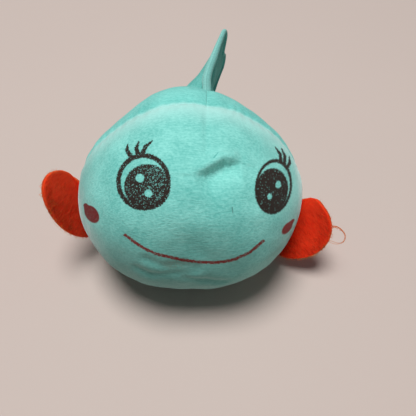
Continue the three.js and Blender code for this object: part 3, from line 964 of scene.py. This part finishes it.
def make_body(materials):
    mesh, dart_tip = ball_mesh()
    swell(mesh, dart_tip)
    ball = subdivided(mesh)
    points = places(ball)
    moved = points + normals(ball) * relief(points, dart_tip)[:, None]
    moved[:, 2] = np.maximum(moved[:, 2], 0.1 * MM * (1 + lumps(points, 12 * MM, 5)))
    put(ball, moved)
    fin_slots = [(joint_place(f"fin_{side}_flap"), FIN_ROOT_HALF, FIN_SLOT) for side in FINS]
    tail_slot = (joint_place("tail_wag"), 0.8 * TAIL_ROOT_HALF, TAIL_SLOT)
    kinds = (
        ("face_panel", 0, fin_slots, materials["face"]),
        ("back_panel_left", 1, [fin_slots[0], tail_slot], materials["back"]),
        ("back_panel_right", 2, [fin_slots[1], tail_slot], materials["back"]),
    )
    for node, number, slots, material in kinds:
        piece = object_of(f"{node}_plush", panel_mesh(node, ball, number, slots), material)
        points = places(piece.data)
        # A painted highlight along the seams near the top
        fade = BACK_FADE if number else FACE_FADE
        off_seam = np.abs(in_front(points))
        keep(piece.data, "seam_highlight", near_top(points) * (1 - smoothstep(off_seam, 0, fade)))
        points = pulled(points)
        put(piece.data, points)
        if number == 0:
            keep_print(piece.data, points)
        thicken(piece, PLUSH_THICK, -1)
        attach(piece, "body")
        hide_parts(node)


def make_stuffing(material):
    bm = bmesh.new()
    bmesh.ops.create_icosphere(bm, subdivisions=5, radius=1)
    directions = np.array([vert.co.normalized() for vert in bm.verts])
    inset = SEAM_DEPTH + PLUSH_THICK
    points = settle(MIDDLE + directions * (body_reach(directions) - inset)[:, None])
    points[:, 2] += PLUSH_THICK + 0.5 * MM
    clumps = 1.2 * MM * lumps(points, 14 * MM, 7) + 0.5 * MM * lumps(points, 5 * MM, 8)
    points += directions * clumps[:, None]
    for vert, point in zip(bm.verts, points):
        vert.co = point
    piece = object_of("stuffing_fibre", mesh_from("stuffing", bm), material)
    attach(piece, "body")
    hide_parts("stuffing")


# Fins
def fin_frame(side):
    along = unit(np.array(JOINTS[f"fin_{side}_flap"]["axis"]))
    out = unit(np.cross(along, FINS[side]["side"] * SEAM_FRONT))
    return joint_place(f"fin_{side}_flap"), along, out


def fin_reach(share):
    return FIN_START + share * (FIN_TIP - FIN_START)


# Places on a fin before it is bent, for the felt's grain
def flat_places(reach, height):
    return np.stack([reach, height, 0 * reach], axis=1)


def fin_share(reach):
    return np.clip((reach - FIN_START) / (FIN_TIP - FIN_START), 0, 1)


def fin_half(share):
    grown = np.clip(share / FIN_BELLY, 0, 1)
    side = FIN_HALF_HEIGHT - (FIN_HALF_HEIGHT - FIN_ROOT_HALF) * (1 - grown) ** 2
    tip = np.clip((share - FIN_BELLY) / (1 - FIN_BELLY), 0, 1)
    return np.where(share < FIN_BELLY, side, FIN_HALF_HEIGHT * np.sqrt(1 - tip**2))


# How far along its hinge a fin's middle lies, from its root to its tip
def fin_middle(side, share):
    fin = FINS[side]
    return fin["lean"] * share - fin["sink"] * (1 - share)


# Places on a fin: out from its hinge and along it, with its fold, its cup and straight on past its tip
def fin_places(side, reach, height):
    hinge, along, out = fin_frame(side)
    fin = FINS[side]
    steps = np.linspace(-FIN_INSIDE, FIN_TIP, 200)
    angle = fin["fold"] * smoothstep(steps, -0.5 * MM, 3 * MM)
    step = steps[1] - steps[0]
    path_out = np.cumsum(np.cos(angle)) * step
    path_front = np.cumsum(np.sin(angle)) * step
    at_hinge = np.searchsorted(steps, 0)
    path_out -= path_out[at_hinge]
    path_front -= path_front[at_hinge]
    centre = fin_middle(side, fin_share(reach))
    turned = np.interp(reach, steps, angle)
    cup = fin["cup"] * smoothstep(reach, 0, FIN_TIP / 2) * ((height - centre) / FIN_HALF_HEIGHT) ** 2
    past = np.maximum(reach - FIN_TIP, 0)
    local_out = np.interp(reach, steps, path_out) - cup * np.sin(turned) + past * np.cos(turned)
    local_front = np.interp(reach, steps, path_front) + cup * np.cos(turned) + past * np.sin(turned)
    return hinge + np.outer(local_out, out) + np.outer(local_front, SEAM_FRONT) + np.outer(height, along)


def make_fin(side, material):
    fin = FINS[side]
    tall = fin["tall"]
    inner = np.linspace(-FIN_INSIDE, FIN_START, 6)[:-1]
    outer = fin_reach(0.9995 * np.sin(np.linspace(0, math.pi / 2, FIN_COLUMNS)))
    reach_line = np.concatenate([inner, outer])
    reach, across = np.meshgrid(reach_line, np.linspace(-1, 1, FIN_ROWS), indexing="ij")
    reach = reach.ravel()
    across = across.ravel()
    share = fin_share(reach)
    height = across * tall * fin_half(share) + fin_middle(side, share)
    ragged = 0.35 * MM * lumps(flat_places(reach, height), 2.2 * MM, 11)
    at_edge = np.clip((np.abs(across) - 0.93) / 0.07, 0, 1)
    height = height + np.sign(across) * ragged * at_edge * (reach > 0)
    points = fin_places(side, reach, height)
    waves = 0.5 * MM * lumps(points, 11 * MM, 12 + fin["side"]) * smoothstep(reach, 0, 8 * MM)
    points += np.outer(waves, fin_normal(side))
    faces = []
    for i in range(len(reach_line) - 1):
        for j in range(FIN_ROWS - 1):
            corner = i * FIN_ROWS + j
            faces.append((corner, corner + 1, corner + FIN_ROWS + 1, corner + FIN_ROWS))
    mesh = mesh_of(f"fin_{side}", points, faces)
    keep(mesh, "felt_place", flat_places(reach, height))
    # A painted highlight along the fin's upper edge, weaker toward its tip
    off_edge = np.minimum((1 - np.abs(across)) * fin_half(share), FIN_TIP - reach)
    upper = smoothstep(across, 0.3, 0.8) * (1 - 0.7 * smoothstep(share, 0.45, 0.75))
    keep(mesh, "felt_highlight_and_pale_fibre", fin["rim"] * upper * (1 - smoothstep(off_edge, 0.5 * MM, 2.2 * MM)))
    piece = object_of(f"fin_{side}_felt", mesh, material)
    thicken(piece, FELT_THICK, 0)
    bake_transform(piece)
    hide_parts(f"fin_{side}", f"fin_{side}_root")
    fibres = fin_fibres(side, material)


# A smooth line through a few stops
def curve(stops, count):
    padded = np.concatenate([[2 * stops[0] - stops[1]], stops, [2 * stops[-1] - stops[-2]]])
    line = []
    for place in np.linspace(0, len(stops) - 1.001, count):
        i = int(place)
        share = place - i
        before, start, end, after = padded[i:i + 4]
        line.append(0.5 * (2 * start + (end - before) * share
                           + (2 * before - 5 * start + 4 * end - after) * share**2
                           + (3 * start - before - 3 * end + after) * share**3))
    return np.array(line)


# Thin tapered strands, each a row of points
def strands_mesh(name, strands, radii):
    points = []
    faces = []
    for strand, radius in zip(strands, radii):
        base = len(points)
        last = len(strand) - 1
        for i, spot in enumerate(strand):
            ahead = unit(strand[min(i + 1, last)] - strand[max(i - 1, 0)])
            first = unit(np.cross(ahead, (0.31, 0.52, 0.79)))
            second = np.cross(ahead, first)
            size = radius * (1 - 0.6 * i / last)
            for k in range(STRAND_SIDES):
                turn = 2 * math.pi * k / STRAND_SIDES
                points.append(spot + size * (math.cos(turn) * first + math.sin(turn) * second))
        faces.extend(ring_faces(base, STRAND_SIDES, len(strand)))
        faces.append(tuple(base + k for k in reversed(range(STRAND_SIDES))))
        faces.append(tuple(base + last * STRAND_SIDES + k for k in range(STRAND_SIDES)))
    return mesh_of(name, points, faces)


# A fibre that lies on one face of a fin
def face_fibre(side, draw):
    share = math.sqrt(draw.uniform(0.05, 0.98))
    across = draw.uniform(-0.98, 0.98)
    face = draw.choice((-1, 1))
    turn = draw.normal(0.0, 0.35)
    length = draw.uniform(2.5, 6.0) * MM
    bow = draw.normal(0, 0.5) * MM
    steps = np.linspace(-0.5, 0.5, 5)
    arch = 1 - 4 * steps**2
    reach = np.clip(fin_reach(share) + steps * length * math.cos(turn), 2 * MM, FIN_TIP)
    height = across * FINS[side]["tall"] * fin_half(np.array([share]))[0] + fin_middle(side, share)
    height = height + steps * length * math.sin(turn) + bow * arch
    lift = FELT_THICK / 2 + (0.05 + 0.28 * draw.random() * arch) * MM
    points = fin_places(side, reach, height) + np.outer(face * lift, fin_normal(side))
    return points, flat_places(reach, height)


# A short fibre that stands out of a fin's edge
def edge_fibre(side, draw):
    angle = draw.uniform(-0.5, 0.5) * math.pi
    share = FIN_BELLY + (1 - FIN_BELLY) * math.cos(angle)
    length = draw.uniform(0.5, 1.8) * MM
    steps = np.linspace(-0.6, 1, 5)
    aim = angle + draw.normal(0, 0.5) * (steps + 0.6)
    reach = fin_reach(share) + steps * length * np.cos(aim)
    height = FINS[side]["tall"] * FIN_HALF_HEIGHT * math.sin(angle) + fin_middle(side, share)
    height = height + steps * length * np.sin(aim)
    lift = draw.uniform(-0.5, 0.5) * FELT_THICK
    points = fin_places(side, reach, height) + lift * fin_normal(side)
    return points, flat_places(reach, height)


# The long fibres that the photograph shows, in the plane between the felt at their two ends
def loose_fibres(side):
    share, across = np.meshgrid(np.linspace(0.3, 1, 60), np.linspace(-1, 1, 60))
    share = share.ravel()
    height = across.ravel() * FINS[side]["tall"] * fin_half(share) + fin_middle(side, share)
    spots = fin_places(side, fin_reach(share), height)
    pixels = project(spots)
    strands = []
    for line in LOOSE_FIBRES[side]:
        ends = [spots[np.argmin(lengths(pixels - end))] for end in (line[0], line[-1])]
        stops = []
        for i, pixel in enumerate(line):
            beside = ends[0] + (ends[1] - ends[0]) * i / (len(line) - 1)
            stops.append(on_plane(pixel, beside, VIEW_BACK))
        strand = curve(np.array(stops), 6 * len(line))
        strands.append((strand, np.zeros_like(strand)))
    return strands


def fin_fibres(side, material):
    draw = np.random.default_rng(5 + FINS[side]["side"])
    fine = [face_fibre(side, draw) for _ in range(FACE_FIBRES)]
    fine.extend(edge_fibre(side, draw) for _ in range(EDGE_FIBRES))
    loose = loose_fibres(side)
    strands, laid = zip(*fine, *loose)
    radii = [FIBRE_RADIUS] * len(fine) + [LOOSE_RADIUS] * len(loose)
    mesh = strands_mesh(f"fin_{side}_fibres", strands, radii)
    keep(mesh, "felt_place", np.repeat(np.concatenate(laid), STRAND_SIDES, axis=0))
    # The loose fibres take the paler red
    rims = [np.full(STRAND_SIDES * len(strand), 0.0 if i < len(fine) else 1.0)
            for i, strand in enumerate(strands)]
    keep(mesh, "felt_highlight_and_pale_fibre", np.concatenate(rims))
    piece = object_of(f"fin_{side}_fibres", mesh, material)
    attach(piece, f"fin_{side}")
    return piece


def fin_normal(side):
    _, _, out = fin_frame(side)
    fold = FINS[side]["fold"]
    return SEAM_FRONT * math.cos(fold) - out * math.sin(fold)


# Tail
def tail_frame():
    u = np.array([0, math.cos(TAIL_AIM), math.sin(TAIL_AIM)])
    v = np.array([0, -math.sin(TAIL_AIM), math.cos(TAIL_AIM)])
    return joint_place("tail_wag") - TAIL_AXIS_OFF * u, u, v


# Where lines across the tail come out of the body
def tail_root_at(v_line):
    origin, u, v = tail_frame()
    found = []
    for height in v_line:
        low, high = -20 * MM, 20 * MM
        for _ in range(30):
            middle = (low + high) / 2
            if inside_body(origin + middle * u + height * v):
                low = middle
            else:
                high = middle
        found.append(low)
    return np.array(found)


def tail_outline():
    edge_share = np.linspace(0, 1, 16)[:-1]
    roots = (TAIL_ROOT_HALF, TAIL_RIDGE_ROOT)
    starts = tail_root_at([-roots[0], roots[1]]) - TAIL_INSIDE
    angle = np.linspace(0, math.pi / 2, 14)[:-1]
    notch = np.linspace(1, 0, 14)
    halves = []
    for sign, start, root in zip((-1, 1), starts, roots):
        side_u = start + (TAIL_TIP - start) * edge_share
        side_v = root + (TAIL_HALF_SPAN - root) * edge_share**TAIL_WIDENING
        tip_u = TAIL_TIP + (TAIL_LOBE - TAIL_TIP) * np.sin(angle)
        tip_v = TAIL_LOBE_SPAN + (TAIL_HALF_SPAN - TAIL_LOBE_SPAN) * np.cos(angle)
        notch_u = TAIL_NOTCH + (TAIL_LOBE - TAIL_NOTCH) * (1 - np.cos(math.pi * notch)) / 2
        half_u = np.concatenate([side_u, tip_u, notch_u])
        half_v = sign * np.concatenate([side_v, tip_v, TAIL_LOBE_SPAN * notch])
        halves.append(np.stack([half_u, half_v], axis=1))
    sewn = np.concatenate([halves[0], halves[1][::-1][1:]])
    root_v = np.linspace(TAIL_RIDGE_ROOT, -TAIL_ROOT_HALF, 26)[1:-1]
    root_line = np.stack([tail_root_at(root_v) - TAIL_INSIDE, root_v], axis=1)
    return sewn, np.concatenate([sewn, root_line])


def tail_bend(u):
    out = np.maximum(u, 0)
    return TAIL_LEAN * out**2 / (out + TAIL_LEAN_START)


# How far spots on the tail lie from its sewn edge, and the radius of the roll there
def tail_roll(spots, sewn):
    outward = smoothstep(spots[:, 0], 5 * MM, TAIL_TIP)
    return line_distance(spots, sewn), TAIL_ROLL[0] + (TAIL_ROLL[1] - TAIL_ROLL[0]) * outward


def tail_thick(spots, sewn, side):
    off, radius = tail_roll(spots, sewn)
    depth = np.minimum(off / radius, 1)
    roll = radius * np.sqrt(1 - (1 - depth) ** 2)
    rise = spots[:, 0] - np.interp(spots[:, 1], *tail_root_curve())
    closed = (1 - smoothstep(rise, 2 * MM, 8 * MM)) * smoothstep(-spots[:, 1], 0, 6 * MM)
    valley = (1 - TAIL_VALLEY) * radius * smoothstep(off, 1.1 * radius, 1.9 * radius) * (1 - closed)
    puff = TAIL_PUFF[side] * smoothstep(off, 1.9 * radius, 12 * MM)
    flare = TAIL_FLARE[side] * np.exp(-np.maximum(rise, -2 * MM) / TAIL_FLARE_REACH)
    flare *= smoothstep(off, 1.5 * radius, 13 * MM) * smoothstep(spots[:, 1], -10 * MM, 8 * MM)
    pinch = TAIL_PINCH[side] * hump(np.hypot(rise - 1.5 * MM, spots[:, 1] - TAIL_PINCH_AT), 2.4 * MM)
    return roll - valley + puff + flare - pinch


def tail_root_curve():
    v_line = np.linspace(-1.2 * TAIL_ROOT_HALF, 1.2 * TAIL_RIDGE_ROOT, 31)
    return v_line, tail_root_at(v_line)


def tail_surface(spots, lift):
    origin, u, v = tail_frame()
    across = lift + tail_bend(spots[:, 0])
    return origin + np.outer(spots[:, 0], u) + np.outer(spots[:, 1], v) + np.outer(across, VIEW_RIGHT)


def bend_tail(piece):
    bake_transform(piece)


def make_tail(materials):
    sewn, outline = tail_outline()
    hub = np.array([TAIL_NOTCH / 2, 0])
    count = len(outline)
    rings = 1 - np.linspace(0, 1, TAIL_RINGS)[:-1] ** 1.6
    outer = np.concatenate([[hub], *(hub + ring * (outline - hub) for ring in rings[::-1])])
    inward = unit(hub - outline)
    spots = np.concatenate([outer, *(outline + depth * inward for depth in TAIL_TURNED_IN)])
    off, radius = tail_roll(spots, sewn)
    border = len(outer) - count
    sharp = [(border + i, border + (i + 1) % count) for i in range(count)]
    for name, side in (("left", -1), ("right", 1)):
        lifts = np.full(len(spots), TAIL_CLOSED)
        lifts[:len(outer)] = np.maximum(tail_thick(outer, sewn, side), TAIL_CLOSED)
        lifts *= 1 + 0.12 * lumps(np.insert(spots, 2, side, axis=1), 8 * MM, 21)
        faces = fan_faces(0, count) + ring_faces(1, count, len(rings) + len(TAIL_TURNED_IN))
        if side > 0:
            faces = [face[::-1] for face in faces]
        mesh = mesh_of(f"tail_{name}", tail_surface(spots, side * lifts), faces)
        turn_outward(mesh, sharp)
        # A painted highlight along the tail's edge roll
        keep(mesh, "seam_highlight", 0.45 * (1 - smoothstep(off, 0.6 * radius, 1.6 * radius)))
        piece = object_of(f"tail_panel_{name}_plush", mesh, materials[name])
        thicken(piece, TAIL_CLOTH, -1)
        bend_tail(piece)
        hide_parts(f"tail_panel_{name}", *(["tail_root"] if side < 0 else []))
    make_tail_filling(sewn, outline, hub, materials["fibre"])


def make_tail_filling(sewn, outline, hub, material):
    rings = [hub + share * (outline - hub) for share in np.linspace(0.06, 0.72, FILLING_RINGS)]
    spots = np.concatenate([[hub], *rings])
    count = len(outline)
    points = []
    faces = []
    for base, side in ((0, -1), (len(spots), 1)):
        thick = tail_thick(spots, sewn, side) - TAIL_CLOTH - FILLING_ROOM
        thick = np.clip(thick, 0.1 * MM, FILLING_HALF)
        thick[-count:] = 0.05 * MM
        points.extend(tail_surface(spots, side * thick))
        flank = fan_faces(base, count) + ring_faces(base + 1, count, len(rings))
        faces.extend([face[::-1] for face in flank] if side > 0 else flank)
    faces.extend(ring_faces(len(spots) - count, count, 2, len(spots)))
    mesh = mesh_of("tail_filling", points, faces)
    turn_outward(mesh)
    piece = object_of("tail_filling_fibre", mesh, material)
    bend_tail(piece)
    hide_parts("tail_filling")


def dress_threads(material):
    for name, node in frame["nodes"].items():
        if name.endswith("_thread"):
            node.data.materials.clear()
            node.data.materials.append(material)


make_camera()
make_light()
make_floor()
felt = felt_shader()
fibre = fibre_shader()
face = face_shader()
back = plush_shader("plush_back", BACK_TIP, BACK_DEEP, BACK_SHEEN)[0].material
make_body({"face": face, "back": back})
make_stuffing(fibre)
for fin_side in FINS:
    make_fin(fin_side, felt)
tail_left = plush_shader("plush_tail_left", TAIL_LIT, TAIL_DEEP, BACK_SHEEN)[0].material
# The right tail panel: a copy of the plush darkened as painted shade
tail_right = plush_shader("plush_tail_right_shaded", TAIL_SHADE_TIP, TAIL_SHADE_DEEP, BACK_SHEEN / 2)[0].material
make_tail({"left": tail_left, "right": tail_right, "fibre": fibre})
dress_threads(thread_shader())
